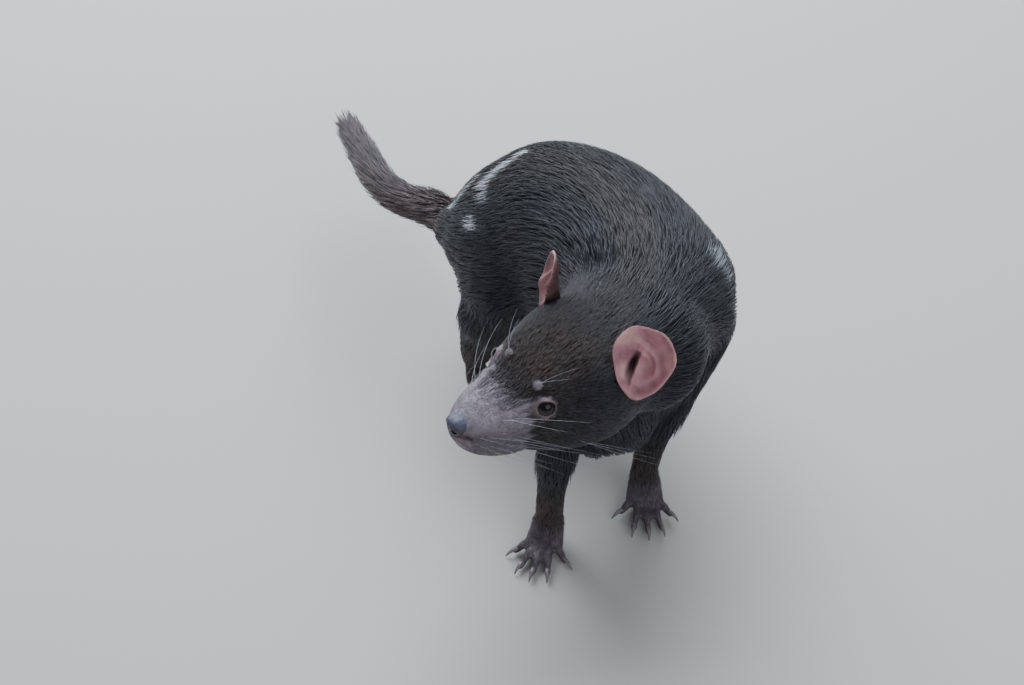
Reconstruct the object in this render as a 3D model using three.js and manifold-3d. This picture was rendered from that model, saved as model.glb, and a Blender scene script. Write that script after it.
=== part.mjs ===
// A Tasmanian devil at life size: a small adult that stands on four feet with its back hunched
// and bent in a C, looks round to its right and up a little, and trails its bushy tail.
// Millimetres, +Z up. The forefeet point to -Y and the tail to +Y. Left and right are the animal's.
import * as THREE from "three";
import { mergeVertices } from "three/addons/utils/BufferGeometryUtils.js";
import Module from "manifold-3d";

const wasm = await Module();
wasm.setup();

const at = (x, y, z) => new THREE.Vector3(x, y, z);
const { lerp, degToRad } = THREE.MathUtils;
const UP = at(0, 0, 1);

// Driving dimensions
const GAP = 0.3; // between touching pieces
const HEAD_PLACE = at(48.5, -183, 201); // midway between the ears
const HEAD_HEADING = 214.6; // degrees anticlockwise from +X, seen from above
const HEAD_LIFT = 11; // degrees that the nose points up
const WRIST_HEIGHT = 34;
const HOCK_HEIGHT = 38;

// Colours of the coat and the bare skin
const FINISH = {
  coat: { color: 0x1d1a1b, roughness: 0.72 },
  tailCoat: { color: 0x3a2f2e, roughness: 0.8 },
  muzzle: { color: 0x75686d, roughness: 0.7 },
  nose: { color: 0x2b262b, roughness: 0.35 },
  ear: { color: 0xb5625f, roughness: 0.6 },
  eye: { color: 0x0b0a0b, roughness: 0.08 },
  foot: { color: 0x3d3131, roughness: 0.75 },
  claw: { color: 0x857a70, roughness: 0.4 },
};

// Solids

function solidOf(geometry) {
  const bare = geometry.index ? geometry.toNonIndexed() : geometry.clone();
  for (const name of Object.keys(bare.attributes)) {
    if (name !== "position") bare.deleteAttribute(name);
  }
  const merged = mergeVertices(bare, 1e-3);
  return new wasm.Manifold(
    new wasm.Mesh({
      numProp: 3,
      vertProperties: merged.attributes.position.array,
      triVerts: new Uint32Array(merged.index.array),
    }),
  );
}

// The largest closed body of a solid, as a geometry: a cut or a union may leave loose scraps.
function geometryOf(solid) {
  const largest = solid.decompose().reduce((a, b) => (a.volume() > b.volume() ? a : b));
  const mesh = largest.getMesh();
  const geometry = new THREE.BufferGeometry();
  geometry.setAttribute("position", new THREE.BufferAttribute(mesh.vertProperties, 3));
  geometry.setIndex(new THREE.BufferAttribute(mesh.triVerts, 1));
  const faceted = geometry.toNonIndexed();
  faceted.computeVertexNormals();
  return faceted;
}

const joined = (solids) => solids.reduce((a, b) => a.add(b));
const keepBeyond = (solid, point, normal) =>
  solid.trimByPlane(normal.toArray(), point.dot(normal) + GAP / 2);
const keepBefore = (solid, point, normal) => keepBeyond(solid, point, normal.clone().negate());

function signedVolume(points, faces) {
  let sum = 0;
  for (const [a, b, c] of faces) {
    sum += points[a].dot(points[b].clone().cross(points[c])) / 6;
  }
  return sum;
}

function closedSurface(points, faces) {
  const facing = signedVolume(points, faces) < 0 ? faces.map(([a, b, c]) => [a, c, b]) : faces;
  const geometry = new THREE.BufferGeometry().setFromPoints(points);
  geometry.setIndex(facing.flat());
  return geometry;
}

// A skin over rings of equal count, closed by a fan at each end.
function skinOver(rings) {
  const count = rings[0].length;
  const points = rings.flat();
  const faces = [];
  for (let ring = 0; ring + 1 < rings.length; ring++) {
    for (let i = 0; i < count; i++) {
      const a = ring * count + i;
      const b = ring * count + ((i + 1) % count);
      faces.push([a, b, b + count], [a, b + count, a + count]);
    }
  }
  for (const [ring, flip] of [[0, true], [rings.length - 1, false]]) {
    const middle = rings[ring].reduce((sum, p) => sum.add(p), at(0, 0, 0)).divideScalar(count);
    const centre = points.push(middle) - 1;
    for (let i = 0; i < count; i++) {
      const a = ring * count + i;
      const b = ring * count + ((i + 1) % count);
      faces.push(flip ? [centre, b, a] : [centre, a, b]);
    }
  }
  return closedSurface(points, faces);
}

// A plate between two grids of points, front[v][u] and back[v][u], closed round its border.
function plateBetween(front, back) {
  const rows = front.length;
  const columns = front[0].length;
  const points = [...front.flat(), ...back.flat()];
  const f = (v, u) => v * columns + u;
  const b = (v, u) => rows * columns + v * columns + u;
  const faces = [];
  const quad = (p, q, r, s) => faces.push([p, q, r], [p, r, s]);
  for (let v = 0; v + 1 < rows; v++) {
    for (let u = 0; u + 1 < columns; u++) {
      quad(f(v, u), f(v, u + 1), f(v + 1, u + 1), f(v + 1, u));
      quad(b(v, u), b(v + 1, u), b(v + 1, u + 1), b(v, u + 1));
    }
    quad(f(v, 0), f(v + 1, 0), b(v + 1, 0), b(v, 0));
    quad(f(v, columns - 1), b(v, columns - 1), b(v + 1, columns - 1), f(v + 1, columns - 1));
  }
  for (let u = 0; u + 1 < columns; u++) {
    quad(f(0, u), b(0, u), b(0, u + 1), f(0, u + 1));
    quad(f(rows - 1, u), f(rows - 1, u + 1), b(rows - 1, u + 1), b(rows - 1, u));
  }
  return closedSurface(points, faces);
}

const signedPower = (x, power) => Math.sign(x) * Math.abs(x) ** power;

// A body lofted through stations [centre, half width, height above, depth below].
// squareness 2 gives ellipses, and more gives fuller corners. up or left turns the sections.
// A bump [centre, reach, lift] swells the surface near it, or dents it where lift is negative.
function loft(stations, { sides, rings, up = UP, left = null, squareness = 2, bumps = [], grow = 0 }) {
  const line = new THREE.CatmullRomCurve3(stations.map((s) => s[0]));
  const sizes = new THREE.CatmullRomCurve3(stations.map((s) => at(s[1], s[2], s[3])));
  const made = [];
  for (let ring = 0; ring < rings; ring++) {
    const t = ring / (rings - 1);
    const tangent = line.getTangent(t);
    const across = left
      ? left.clone().addScaledVector(tangent, -left.dot(tangent)).normalize()
      : up.clone().cross(tangent).normalize();
    const over = tangent.clone().cross(across);
    const size = sizes.getPoint(t);
    const end = ring === 0 ? -grow : ring === rings - 1 ? grow : 0;
    const centre = line.getPoint(t).addScaledVector(tangent, end);
    const points = [];
    for (let i = 0; i < sides; i++) {
      const angle = (2 * Math.PI * i) / sides;
      const c = signedPower(Math.cos(angle), 2 / squareness);
      const s = signedPower(Math.sin(angle), 2 / squareness);
      const offset = across.clone().multiplyScalar(c * size.x);
      offset.addScaledVector(over, s * (s > 0 ? size.y : size.z));
      let swell = grow;
      for (const [middle, reach, lift] of bumps) {
        const away = centre.clone().add(offset).distanceTo(middle) / reach;
        swell += lift * Math.exp(-away * away);
      }
      points.push(centre.clone().addScaledVector(offset, 1 + swell / offset.length()));
    }
    made.push(points);
  }
  return skinOver(made);
}

const bothSides = (bumps) =>
  bumps.flatMap(([p, reach, lift]) => [1, -1].map((side) => [at(p.x, side * p.y, p.z), reach, lift]));

function ball(centre, radii, turns = 16) {
  const geometry = new THREE.SphereGeometry(1, turns, Math.round(turns * 0.6));
  return geometry.scale(radii.x, radii.y, radii.z).translate(centre.x, centre.y, centre.z);
}

function node(name, solid, finish) {
  const mesh = new THREE.Mesh(geometryOf(solid), new THREE.MeshStandardMaterial(finish));
  mesh.name = name;
  return mesh;
}

// Torso: the centre line runs forwards from the root of the tail and bends round to the right.
const TORSO = [
  [at(-53, 15, 142), 13, 13, 14],
  [at(-40, 9, 143), 38, 34, 42],
  [at(-14, 0, 147), 55, 56, 62],
  [at(22, -10, 151), 66, 80, 70],
  [at(56, -31, 157), 73, 82, 75],
  [at(80, -61, 162), 76, 77, 79],
  [at(93, -96, 166), 77, 69, 83],
  [at(96, -124, 167), 61, 60, 91],
  [at(91, -149, 160), 50, 52, 93],
  [at(81, -174, 150), 34, 30, 75],
];
const TORSO_BUMPS = [
  [at(-8, -52, 128), 34, 4], // right haunch
  [at(22, 52, 128), 34, 4], // left haunch
  [at(164, -92, 182), 36, 8], // left shoulder
  [at(40, -135, 140), 34, 4], // right shoulder
];
const TORSO_MESH = { sides: 28, rings: 22, squareness: 2.15, bumps: TORSO_BUMPS };
const BREAST = { middle: at(74, -162, 111), radii: at(40, 34, 41) };
const LOIN = { point: at(50, -24, 156), along: at(0.8, -0.6, 0) };

// The trunk with the round of the breast, grown by some amount.
function trunk(grow) {
  const breast = ball(BREAST.middle, BREAST.radii.clone().addScalar(grow), 14);
  return solidOf(loft(TORSO, { ...TORSO_MESH, grow })).add(solidOf(breast));
}

function torso(skullAround) {
  const around = joined([solidOf(tailCore(GAP)), skullAround]);
  const whole = trunk(0).subtract(around);
  return [
    node("torso_rear", keepBefore(whole, LOIN.point, LOIN.along), FINISH.coat),
    node("torso_front", keepBeyond(whole, LOIN.point, LOIN.along), FINISH.coat),
  ];
}

// Head: in its own frame, x to the nose, y to the left and z up, from midway between the ears.
const HEAD = [
  [at(-46, 0, -6), 22, 20, 24],
  [at(-36, 0, -8), 42, 39, 44],
  [at(-18, 0, -9), 51, 47, 52],
  [at(2, 0, -10), 53, 47, 55],
  [at(22, 0, -13), 48, 43, 55],
  [at(38, 0, -16), 41, 37, 56],
  [at(52, 0, -20), 34.5, 32, 51],
  [at(66, 0, -24), 28.5, 28, 43],
  [at(80, 0, -27), 24, 24, 32],
  [at(92, 0, -28), 19.5, 19, 20],
  [at(101, 0, -27), 14, 14, 12],
  [at(106, 0, -26), 7, 7, 7],
];
const HEAD_BUMPS = bothSides([
  [at(45, 24, 12), 11, 3.5], // brow
  [at(51, 30, 1), 10, 2.5], // round the eye
  [at(65, 24, 2), 10, -2.5], // in front of the eye
  [at(20, 46, -24), 24, 4], // cheek
  [at(84, 22, -30), 13, 2.5], // whisker pad
  [at(58, 32, -41), 6, 1.6], // lips at the corner of the mouth
  [at(70, 27, -44), 6, 1.4], // lips below the whisker pad
]);
const HEAD_MESH = { sides: 28, rings: 24, squareness: 2.25, bumps: HEAD_BUMPS };
const JAW_BACK = 46;
const MOUTH = [
  [JAW_BACK, -38],
  [58, -43],
  [72, -46],
  [88, -46],
  [104, -41],
  [120, -38],
];
const MOUTH_SLIT = 0.9;
const EYE = { middle: at(50, 27, -1), radius: 7.6 };
const EYE_AIM = at(0.42, 0.84, 0.34).normalize();
const NOSE = [
  [at(94, 0, -21), 4, 4, 4],
  [at(99, 0, -20), 8, 5.5, 7],
  [at(104, 0, -20), 9, 6, 8],
  [at(108.5, 0, -21), 7.5, 5, 6],
  [at(110.5, 0, -21.5), 3.5, 2.5, 3],
];

const headSkin = (grow) => loft(HEAD, { ...HEAD_MESH, grow });

// The lower jaw is a little narrower and shorter than the lips that close over it.
function jawSkin() {
  const stations = HEAD.map(([p, wide, over, under]) => {
    const share = THREE.MathUtils.clamp((p.x - JAW_BACK) / (106 - JAW_BACK), 0, 1);
    return [at(p.x - 8 * share, 0, p.z), wide - 2.5 * share, over, under - 1.5 * share];
  });
  return loft(stations, HEAD_MESH);
}

// Everything under the line of the mouth, lifted by some amount, and in front of the jaw's back.
function underMouth(lifted, back) {
  const shape = new THREE.Shape([
    new THREE.Vector2(back, -110),
    new THREE.Vector2(130, -110),
    new THREE.Vector2(130, -38 + lifted),
  ]);
  const lips = new THREE.SplineCurve(MOUTH.map(([x, z]) => new THREE.Vector2(x, z + lifted)));
  for (const p of lips.getPoints(14).reverse()) shape.lineTo(Math.max(p.x, back), p.y);
  const cut = new THREE.ExtrudeGeometry(shape, { depth: 160, bevelEnabled: false });
  return solidOf(cut.rotateX(Math.PI / 2).translate(0, 80, 0));
}

function eyeParts(side) {
  const middle = at(EYE.middle.x, side * EYE.middle.y, EYE.middle.z);
  const aim = at(EYE_AIM.x, side * EYE_AIM.y, EYE_AIM.z);
  const turn = new THREE.Quaternion().setFromUnitVectors(UP, aim);
  const opening = ball(at(0, 0, 0), at(5.9, 6.4, 13), 10).applyQuaternion(turn);
  opening.translate(middle.x, middle.y, middle.z);
  const round = (radius, turns) => solidOf(ball(middle, at(radius, radius, radius), turns));
  return {
    lids: round(EYE.radius + 1.8, 12),
    opening: solidOf(opening),
    socket: round(EYE.radius + GAP, 12),
    eyeball: round(EYE.radius, 12),
  };
}

function head() {
  const eyes = { left: eyeParts(1), right: eyeParts(-1) };
  const noseSkin = (grow) => loft(NOSE, { sides: 14, rings: 8, squareness: 2.3, grow });
  let skull = joined([solidOf(headSkin(0)), eyes.left.lids, eyes.right.lids]);
  skull = skull.subtract(underMouth(MOUTH_SLIT, JAW_BACK)).subtract(solidOf(noseSkin(GAP)));
  for (const eye of Object.values(eyes)) {
    skull = skull.subtract(joined([eye.opening, eye.socket]));
  }
  const jaw = solidOf(jawSkin()).intersect(underMouth(0, JAW_BACK + GAP));
  let nose = solidOf(noseSkin(0));
  for (const side of [1, -1]) {
    nose = nose.subtract(solidOf(ball(at(109, side * 4.4, -21.5), at(4, 2, 2.5), 8)));
  }
  const nodes = [
    node("head", skull, FINISH.coat),
    node("lower_jaw", jaw.subtract(solidOf(noseSkin(GAP))), FINISH.muzzle),
    node("nose", nose, FINISH.nose),
  ];
  for (const [name, side] of [["left", 1], ["right", -1]]) {
    nodes.push(node(`eye_${name}`, eyes[name].eyeball, FINISH.eye));
    nodes.push(node(`ear_${name}`, ear(name, side), FINISH.ear));
  }
  const group = new THREE.Group();
  group.add(...nodes);
  group.position.copy(HEAD_PLACE);
  group.rotation.set(0, -degToRad(HEAD_LIFT), degToRad(HEAD_HEADING), "ZYX");
  group.updateMatrix();
  return group;
}

// Ear: a round cup that grows out of the side of the crown and opens forwards and outwards.
const EAR = { halfWidth: 22, rootCurl: 150, tipCurl: 60, thick: 1.8, rows: 8, columns: 10 };
const EAR_ROOT = at(2, 44, 6);
// The left ear is turned a little further out, and the right one leans out more.
const EARS = {
  left: { height: 60, tip: at(-4, 61, 62), front: at(0.64, 0.76, 0.05) },
  right: { height: 48, tip: at(3, 68, 52), front: at(0.84, 0.5, -0.2) },
};

function ear(name, side) {
  const mirror = at(1, side, 1);
  const { height, tip } = EARS[name];
  const axis = tip.clone().sub(EAR_ROOT).normalize().multiply(mirror);
  const front = EARS[name].front.clone().multiply(mirror);
  front.addScaledVector(axis, -front.dot(axis)).normalize();
  const across = axis.clone().cross(front);
  const root = EAR_ROOT.clone().multiply(mirror);
  const surface = (inset) => {
    const grid = [];
    for (let row = 0; row <= EAR.rows; row++) {
      const v = row / EAR.rows;
      const rise = v < 0.5 ? lerp(0.85, 1, Math.sin(v * Math.PI)) : Math.sqrt(1.06 - (2 * v - 1) ** 2);
      const half = EAR.halfWidth * Math.min(rise, 1);
      const curl = degToRad(lerp(EAR.rootCurl, EAR.tipCurl, Math.min(1, v * 1.4)));
      const radius = (2 * half) / curl;
      const line = [];
      for (let column = 0; column <= EAR.columns; column++) {
        const turn = (curl / 2) * ((2 * column) / EAR.columns - 1);
        const thin = inset * (1 - 0.45 * v);
        const reach = radius - thin;
        const point = root.clone().addScaledVector(axis, height * v - thin * v);
        point.addScaledVector(across, reach * Math.sin(turn));
        point.addScaledVector(front, radius - reach * Math.cos(turn) - 5 * v * v - radius * 0.5);
        line.push(point);
      }
      grid.push(line);
    }
    return grid;
  };
  return solidOf(plateBetween(surface(0), surface(EAR.thick))).subtract(solidOf(headSkin(GAP)));
}

// Neck: a short thick barrel between the breast and the back of the head.
const NECK = [
  [at(112, -104, 164), 24, 22, 26],
  [at(104, -124, 172), 50, 44, 48],
  [at(88, -147, 182), 63, 56, 58],
  [at(72, -166, 191), 54, 50, 52],
  [at(58, -184, 197), 38, 38, 38],
];

// Legs: stations from the body down, [centre, half width, to the front, to the back].
const LEGS = {
  front_left: {
    line: [
      [at(128, -96, 190), 12, 20, 22],
      [at(148, -100, 167), 28, 38, 38],
      [at(140, -117, 134), 24, 33, 34],
      [at(126, -137, 102), 18, 24, 26],
      [at(115, -150, 78), 13.5, 17, 18],
      [at(108, -161, 52), 12, 13.5, 14],
      [at(106, -165, 30), 12, 13, 13],
      [at(106, -166, 16), 10, 11, 11],
    ],
    joint: { point: at(126, -139, 98), down: at(-0.4, -0.45, -0.8) },
    ankle: at(107, -165, WRIST_HEIGHT),
    heading: -86,
    toes: "front",
    inner: -1,
  },
  front_right: {
    line: [
      [at(76, -126, 190), 12, 20, 22],
      [at(57, -140, 168), 24, 36, 36],
      [at(47, -160, 135), 24, 31, 31],
      [at(37, -182, 104), 16, 22, 24],
      [at(33, -194, 80), 13, 15, 16],
      [at(30, -203, 54), 12, 13, 13],
      [at(29, -207, 30), 12.5, 13, 13],
      [at(28, -208, 16), 10, 11, 11],
    ],
    joint: { point: at(41, -180, 102), down: at(-0.3, -0.5, -0.8) },
    ankle: at(29, -207, WRIST_HEIGHT),
    heading: -111,
    toes: "front",
    inner: 1,
  },
  hind_right: {
    line: [
      [at(-16, -12, 178), 16, 26, 26],
      [at(-12, -34, 154), 30, 44, 42],
      [at(-7, -47, 128), 32, 44, 44],
      [at(-9, -49, 102), 26, 33, 40],
      [at(-20, -49, 78), 19, 24, 28],
      [at(-29, -49, 56), 14, 17, 17],
      [at(-31, -50, 36), 12.5, 13, 13],
      [at(-29, -51, 16), 10, 11, 11],
    ],
    joint: { point: at(-8, -50, 100), down: at(-0.25, 0, -0.97) },
    ankle: at(-31, -50, HOCK_HEIGHT),
    heading: -36,
    toes: "hind",
    inner: 1,
  },
  hind_left: {
    line: [
      [at(6, 22, 178), 16, 26, 26],
      [at(22, 43, 154), 30, 44, 40],
      [at(44, 48, 126), 31, 42, 42],
      [at(58, 46, 100), 23, 32, 34],
      [at(54, 42, 74), 17, 21, 20],
      [at(46, 38, 52), 13, 15, 14],
      [at(44, 36, 34), 12, 13, 13],
      [at(45, 36, 16), 10, 11, 11],
    ],
    joint: { point: at(58, 46, 98), down: at(-0.25, -0.1, -0.96) },
    ankle: at(45, 36, HOCK_HEIGHT),
    heading: -26,
    toes: "hind",
    inner: -1,
  },
};

// Toes fan out from the inner one: distance of their roots from the ankle, degrees from the
// foot's heading, and reach of the claw's root.
const TOES = {
  front: { root: 10, fan: [-50, -19, 0, 18, 42], reach: [26, 34, 36, 35, 29] },
  hind: { root: 30, fan: [-19, -6, 7, 20], reach: [51, 56, 55, 50] },
};
const TOE_RADIUS = 4.4;
const TOE_ROOTS_WIDTH = 20;
const CLAW = { length: 10, seat: 0.93, height: 7.4 };
// Palms and soles, from the ankle down and forwards, in the foot's own frame.
const PALM = {
  front: [
    [at(-2, 0, 44), 10, 10, 10],
    [at(-1, 0, 30), 13, 12.5, 12.5],
    [at(3, 0, 17), 15, 12, 12],
    [at(10, 0, 9), 17, 10, 11],
    [at(19, 0, 6), 16, 8, 9],
    [at(24, 0, 5), 9, 5, 6],
  ],
  hind: [
    [at(-1, 0, 46), 9, 9, 9],
    [at(-2, 0, 32), 11.5, 12, 12],
    [at(1, 0, 18), 13, 12, 12],
    [at(12, 0, 9), 13.5, 10, 11],
    [at(28, 0, 7), 14.5, 8, 9],
    [at(39, 0, 6), 14, 7, 8],
    [at(44, 0, 5), 8, 4, 6],
  ],
};

function toeParts(kind, index, inner) {
  const { root, fan, reach } = TOES[kind];
  const angle = degToRad(fan[index] * -inner);
  const out = at(Math.cos(angle), Math.sin(angle), 0);
  const start = at(root, (0.5 - (index + 0.5) / fan.length) * inner * TOE_ROOTS_WIDTH, 0);
  const along = out.clone().multiplyScalar(reach[index]).sub(start);
  const place = (share, height) => start.clone().addScaledVector(along, share).setZ(height);
  const r = TOE_RADIUS;
  const toe = loft(
    [
      [place(0, 7), r * 0.9, r, r],
      [place(0.3, 8), r * 1.1, r * 1.1, r * 1.3],
      [place(0.62, 8), r * 1.05, r, r * 1.4],
      [place(0.85, 6), r, r * 0.85, r * 1.3],
      [place(1, 5), r * 0.85, r * 0.7, r],
      [place(1.08, 4.6), r * 0.35, r * 0.3, r * 0.4],
    ],
    { sides: 6, rings: 5 },
  );
  const forward = along.clone().normalize();
  const bend = (share, drop) =>
    place(CLAW.seat, CLAW.height - drop).addScaledVector(forward, share * CLAW.length);
  const clawSkin = (grow) =>
    loft(
      [
        [bend(0, 0), 1.9, 1.7, 1.9],
        [bend(0.35, 0.2), 1.7, 1.6, 1.7],
        [bend(0.7, 1.9), 1.2, 1.2, 1.2],
        [bend(0.92, 4.2), 0.7, 0.7, 0.7],
        [bend(1, 5.9), 0.3, 0.3, 0.3],
      ],
      { sides: 5, rings: 5, grow },
    );
  return { toe: solidOf(toe), claw: solidOf(clawSkin(0)), seat: solidOf(clawSkin(GAP)) };
}

function foot(name, { ankle, heading, toes: kind, inner }) {
  const parts = TOES[kind].fan.map((_, index) => toeParts(kind, index, inner));
  const palm = solidOf(loft(PALM[kind], { sides: 10, rings: 8, left: at(0, 1, 0) }));
  const top = at(0, 0, ankle.z);
  let sole = joined([palm, ...parts.map((p) => p.toe)]).subtract(joined(parts.map((p) => p.seat)));
  sole = keepBefore(sole, top, UP).trimByPlane([0, 0, 1], 0);
  const group = new THREE.Group();
  group.add(node(`${name}_foot`, sole, FINISH.foot));
  parts.forEach((part, index) => {
    group.add(node(`${name}_claw_${index + 1}`, part.claw.trimByPlane([0, 0, 1], GAP), FINISH.claw));
  });
  group.position.set(ankle.x, ankle.y, 0);
  group.rotation.z = degToRad(heading);
  return group;
}

function leg(name, { line, joint, ankle, heading }, skullAround) {
  const forwards = at(Math.cos(degToRad(heading)), Math.sin(degToRad(heading)), 0);
  const whole = solidOf(loft(line, { sides: 16, rings: 16, left: UP.clone().cross(forwards) }));
  const down = joint.down.clone().normalize();
  const free = whole.subtract(trunk(GAP));
  const upper = keepBefore(free, joint.point, down).subtract(joined([neckBarrel(GAP), skullAround]));
  const lower = keepBeyond(keepBeyond(free, joint.point, down), ankle, UP);
  return [
    node(`${name}_upper_leg`, upper, FINISH.coat),
    node(`${name}_lower_leg`, lower, FINISH.coat),
  ];
}

const neckBarrel = (grow) => solidOf(loft(NECK, { sides: 26, rings: 10, squareness: 2.1, grow }));

function neck(skullAround) {
  const around = joined([skullAround, trunk(GAP)]);
  return node("neck", neckBarrel(0).subtract(around), FINISH.coat);
}

// Tail: a tapering core under flat locks that lie towards the tip and stand out a little.
const TAIL = [
  [at(-42, 18, 143), 13, 13, 14],
  [at(-57, 23, 143), 16.5, 17, 19],
  [at(-76, 32, 141), 13.5, 14, 15],
  [at(-98, 52, 135), 10.5, 11, 11],
  [at(-115, 84, 126), 8.5, 8.5, 9],
  [at(-129, 120, 115), 6.5, 6.5, 7],
  [at(-139, 149, 106), 4.5, 4.5, 5],
  [at(-143, 161, 102), 2, 2, 2],
];
const tailCore = (grow) => loft(TAIL, { sides: 8, rings: 9, grow });
// The locks stand out least at the root of the tail and most in the brush at its tip.
const LOCK = { rows: 8, around: 4, length: 46, width: 12.5, thick: 2.4, sunk: 4, steps: 4 };
const LOCK_STAND = { root: 3, tip: 8.5 };
const tailLine = new THREE.CatmullRomCurve3(TAIL.map((s) => s[0]));
const tailSizes = new THREE.CatmullRomCurve3(TAIL.map((s) => at(s[1], s[2], s[3])));

// A point on the tail at a share of its length, an angle round it and a height over the core.
function onTail(share, angle, height) {
  const inside = Math.min(share, 1);
  const tangent = tailLine.getTangentAt(inside);
  const side = UP.clone().cross(tangent).normalize();
  const out = side.clone().multiplyScalar(Math.cos(angle));
  out.addScaledVector(tangent.clone().cross(side), Math.sin(angle));
  const radius = tailSizes.getPoint(tailLine.getUtoTmapping(inside)).x;
  const point = tailLine.getPointAt(inside).addScaledVector(out, radius + height);
  return { out, point: point.addScaledVector(tangent, (share - inside) * tailLine.getLength()) };
}

function tailLock(share, angle, chance) {
  const length = (LOCK.length * lerp(0.85, 1.2, chance(1))) / tailLine.getLength();
  const stand = lerp(LOCK_STAND.root, LOCK_STAND.tip, share) * lerp(0.8, 1.2, chance(2));
  const half = (LOCK.width / 2) * lerp(0.85, 1.15, chance(3));
  const stations = [];
  for (let step = 0; step < LOCK.steps; step++) {
    const along = step / (LOCK.steps - 1);
    const { point } = onTail(share + along * length, angle, lerp(-LOCK.sunk, stand, along ** 0.6));
    const taper = Math.sqrt(Math.max(0.005, 1 - along ** 2));
    const thick = (LOCK.thick / 2) * Math.max(0.2, taper);
    stations.push([point, half * taper, thick, thick]);
  }
  const { out } = onTail(share, angle, 0);
  return solidOf(loft(stations, { sides: 4, rings: LOCK.steps, up: out }));
}

function tail() {
  const locks = [];
  for (let row = 0; row < LOCK.rows; row++) {
    for (let k = 0; k < LOCK.around; k++) {
      const seed = (row * LOCK.around + k) * 7;
      const chance = (n) => THREE.MathUtils.seededRandom(seed + n);
      const share = lerp(0.12, 0.97, (row + chance(4) * 0.6) / LOCK.rows);
      const angle = (2 * Math.PI * (k + (row % 2) / 2 + 0.3 * chance(5))) / LOCK.around;
      locks.push(tailLock(share, angle, chance));
    }
  }
  const whole = joined([solidOf(tailCore(0)), ...locks]);
  return node("tail", whole.subtract(trunk(GAP)), FINISH.tailCoat);
}

// The whole animal, with the middle of its box's underside at the origin
const devil = new THREE.Group();
devil.name = "tasmanian_devil";
const headGroup = head();
const skullAround = solidOf(headSkin(GAP).applyMatrix4(headGroup.matrix));
devil.add(headGroup, neck(skullAround), ...torso(skullAround), tail());
for (const [name, facts] of Object.entries(LEGS)) {
  devil.add(...leg(name, facts, skullAround), foot(name, facts));
}
devil.updateMatrixWorld(true);
const box = new THREE.Box3().setFromObject(devil, true);
const middle = box.getCenter(at(0, 0, 0));
devil.position.set(-middle.x, -middle.y, -box.min.z);

export default devil;
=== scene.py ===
"""Looks of the Tasmanian devil: one skin over the flesh of the frame, short fur as solid tufts that
lie along the body, a brush of long hair on the tail, lids, whiskers, bare ears, feet and nose."""

import math

import bmesh
import bpy
import numpy as np
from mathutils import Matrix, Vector
from mathutils.bvhtree import BVHTree
from mathutils.kdtree import KDTree


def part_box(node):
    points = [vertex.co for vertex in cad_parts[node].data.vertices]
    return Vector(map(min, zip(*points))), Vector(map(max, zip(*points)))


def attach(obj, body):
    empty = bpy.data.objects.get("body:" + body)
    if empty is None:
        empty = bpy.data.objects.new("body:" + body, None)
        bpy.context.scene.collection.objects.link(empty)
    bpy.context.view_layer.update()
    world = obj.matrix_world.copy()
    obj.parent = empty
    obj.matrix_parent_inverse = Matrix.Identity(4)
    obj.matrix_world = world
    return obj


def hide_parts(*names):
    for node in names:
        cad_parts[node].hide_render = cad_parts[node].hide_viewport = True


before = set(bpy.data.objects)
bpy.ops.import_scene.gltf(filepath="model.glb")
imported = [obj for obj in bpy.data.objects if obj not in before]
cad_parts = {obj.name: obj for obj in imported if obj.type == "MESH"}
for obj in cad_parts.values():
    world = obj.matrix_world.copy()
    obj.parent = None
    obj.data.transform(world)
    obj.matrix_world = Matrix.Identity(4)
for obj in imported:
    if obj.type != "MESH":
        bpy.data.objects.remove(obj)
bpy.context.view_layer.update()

chance = np.random.default_rng(7)

# Places are in millimetres from the point of the floor that the camera aims at, +X right in its view,
# +Y away from it and +Z up. The left eye of the frame ties them to the row frame in metres.
MM = 0.001
LEFT_EYE = np.array([23.3, -233.2, 209.6])
AIM = np.array((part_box("eye_left")[0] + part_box("eye_left")[1]) / 2) - LEFT_EYE * MM

# The head has its own axes: x to the nose, y to its left, z up, from midway between the ears
HEADING = math.radians(214.6)
LIFT = math.radians(11)
FORWARD = np.array(
    [math.cos(HEADING) * math.cos(LIFT), math.sin(HEADING) * math.cos(LIFT), math.sin(LIFT)]
)
LEFTWARD = np.array([-math.sin(HEADING), math.cos(HEADING), 0.0])
HEAD_AXES = np.array([FORWARD, LEFTWARD, np.cross(FORWARD, LEFTWARD)])
EYE_IN_HEAD = np.array([50.0, 27.0, -1.0])
HEAD_PLACE = LEFT_EYE - EYE_IN_HEAD @ HEAD_AXES
EYE_RADIUS = 7.6
EYE_AIM = np.array([0.42, 0.84, 0.34]) / np.linalg.norm([0.42, 0.84, 0.34])
# The line of the mouth along the head's x and z
MOUTH = np.array([[44, -37], [50, -40], [58, -43], [72, -46], [88, -46], [104, -41], [120, -38]], float)
# Factors that put a place of the left side of the head on either side
MIRRORS = {"left": np.array([1, 1, 1]), "right": np.array([1, -1, 1])}

# Ankle, heading in degrees, kind of foot and side of the inner toe
FEET = {
    "front_left": ((107, -165), -86, "front", -1),
    "front_right": ((29, -207), -111, "front", 1),
    "hind_left": ((45, 36), -26, "hind", -1),
    "hind_right": ((-31, -50), -36, "hind", 1),
}
LEGS = list(FEET)
# Palms in the foot's frame: middle, half width, and reach up and down
PALMS = {
    "front": [((-2, 0, 44), 10, 10, 10), ((-1, 0, 30), 12.5, 12, 12), ((3, 0, 18), 14.5, 11.5, 11.5),
              ((8, 0, 11), 16, 8, 10), ((12, 0, 8), 14, 5, 8), ((15, 0, 6), 8, 3, 6)],
    "hind": [((-1, 0, 46), 9, 9, 9), ((-1, 0, 32), 10.5, 11, 10.5), ((2, 0, 18), 12, 12, 9.5),
             ((12, 0, 10), 13.5, 9.5, 10), ((26, 0, 8), 14.5, 7, 8), ((35, 0, 7), 14, 5, 7),
             ((40, 0, 5), 9, 3, 5)],
}
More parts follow.
